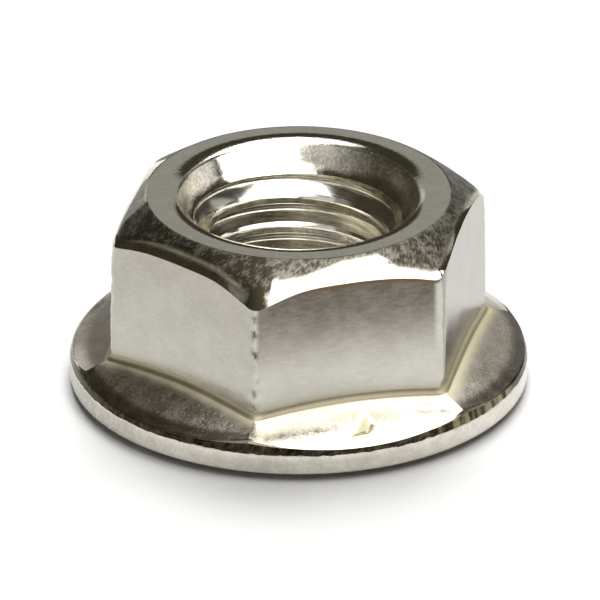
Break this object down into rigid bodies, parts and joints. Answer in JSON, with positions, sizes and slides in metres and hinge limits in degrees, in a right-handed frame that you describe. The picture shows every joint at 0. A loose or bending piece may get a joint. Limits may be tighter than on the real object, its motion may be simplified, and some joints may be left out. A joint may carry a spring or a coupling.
{
  "type": "serrated flange nut",
  "caption": "Hexagon nut with a wide round flange, a chamfered top, a countersunk threaded hole and a serrated underside that grips what it clamps.",
  "frame": {"origin": "centre of the bearing face, on the thread's axis, at the plane of the serrations' crests", "axes": "+Z along the thread's axis, from the bearing face towards the chamfered top; two opposite flats of the hexagon face along Y"},
  "size_m": [0.0174, 0.0174, 0.0078],
  "materials": {
    "plated_steel": "gloss"
  },
  "bodies": {
    "root": {"flange_nut": "plated_steel"}
  },
  "joints": []
}
